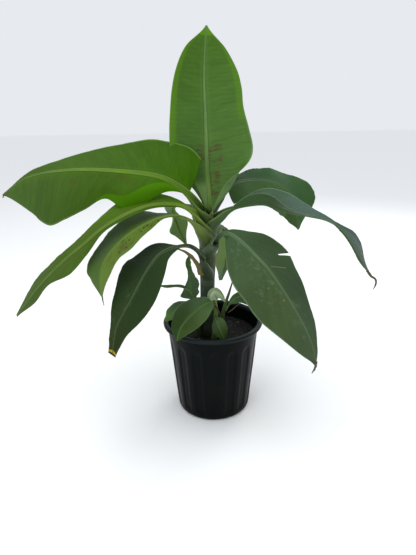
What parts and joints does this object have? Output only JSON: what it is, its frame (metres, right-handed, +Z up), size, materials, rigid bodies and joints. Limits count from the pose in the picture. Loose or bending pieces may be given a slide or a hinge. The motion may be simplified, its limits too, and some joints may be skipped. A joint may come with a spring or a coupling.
{
  "type": "potted banana plant",
  "caption": "Potted banana plant: arching broad leaves on a short pseudostem with small suckers, in a round tapered nursery pot that stands on its flat base.",
  "frame": {"origin": "the middle of the pot's flat underside, on the pot's axis", "axes": "+Z up along the pot's axis; +X to the right and -Y towards the viewer, as the plant is seen from the front"},
  "size_m": [0.9005, 0.5317, 1.0322],
  "materials": {
    "pot": "semi-gloss black-green blow-moulded plastic",
    "soil": "dark bark and peat potting mix",
    "stem": "overlapping leaf sheaths, satin, grey-green with a brown cast",
    "stalk": "smooth channelled leaf stalk, satin, yellow-green",
    "leaf": "thin ribbed leaf blade, waxy satin, mid green",
    "sucker_stem": "young shoot, satin, light green",
    "sucker_leaf": "small young leaf, waxy satin, green"
  },
  "bodies": {
    "root": {"pot": "pot", "soil": "soil", "stem": "stem", "sucker_front_stem": "sucker_stem", "sucker_left_stem": "sucker_stem", "sucker_right_stem": "sucker_stem", "leaf_top_stalk": "stalk", "leaf_top_inner": "leaf", "leaf_top_outer": "leaf", "leaf_left_high_stalk": "stalk", "leaf_left_high_inner": "leaf", "leaf_left_high_outer": "leaf", "leaf_left_long_stalk": "stalk", "leaf_left_long_inner": "leaf", "leaf_left_long_outer": "leaf", "leaf_left_mid_stalk": "stalk", "leaf_left_mid_inner": "leaf", "leaf_left_mid_outer": "leaf", "leaf_left_low_stalk": "stalk", "leaf_left_low_inner": "leaf", "leaf_left_low_outer": "leaf", "leaf_right_back_stalk": "stalk", "leaf_right_back_inner": "leaf", "leaf_right_back_outer": "leaf", "leaf_right_arch_stalk": "stalk", "leaf_right_arch_inner": "leaf", "leaf_right_arch_outer": "leaf", "leaf_right_low_stalk": "stalk", "leaf_right_low_inner": "leaf", "leaf_right_low_outer": "leaf", "leaf_back_left_stalk": "stalk", "leaf_back_left_blade": "leaf", "leaf_back_right_stalk": "stalk", "leaf_back_right_blade": "leaf", "sucker_front_leaf_stalk": "stalk", "sucker_front_leaf_blade": "sucker_leaf", "sucker_silver_leaf_stalk": "stalk", "sucker_silver_leaf_blade": "sucker_leaf", "sucker_ovate_leaf_stalk": "stalk", "sucker_ovate_leaf_blade": "sucker_leaf", "sucker_rim_leaf_stalk": "stalk", "sucker_rim_leaf_blade": "sucker_leaf", "sucker_back_leaf_stalk": "stalk", "sucker_back_leaf_blade": "sucker_leaf", "sucker_strap_leaf_stalk": "stalk", "sucker_strap_leaf_blade": "sucker_leaf", "sucker_right_leaf_stalk": "stalk", "sucker_right_leaf_blade": "sucker_leaf"}
  },
  "joints": []
}
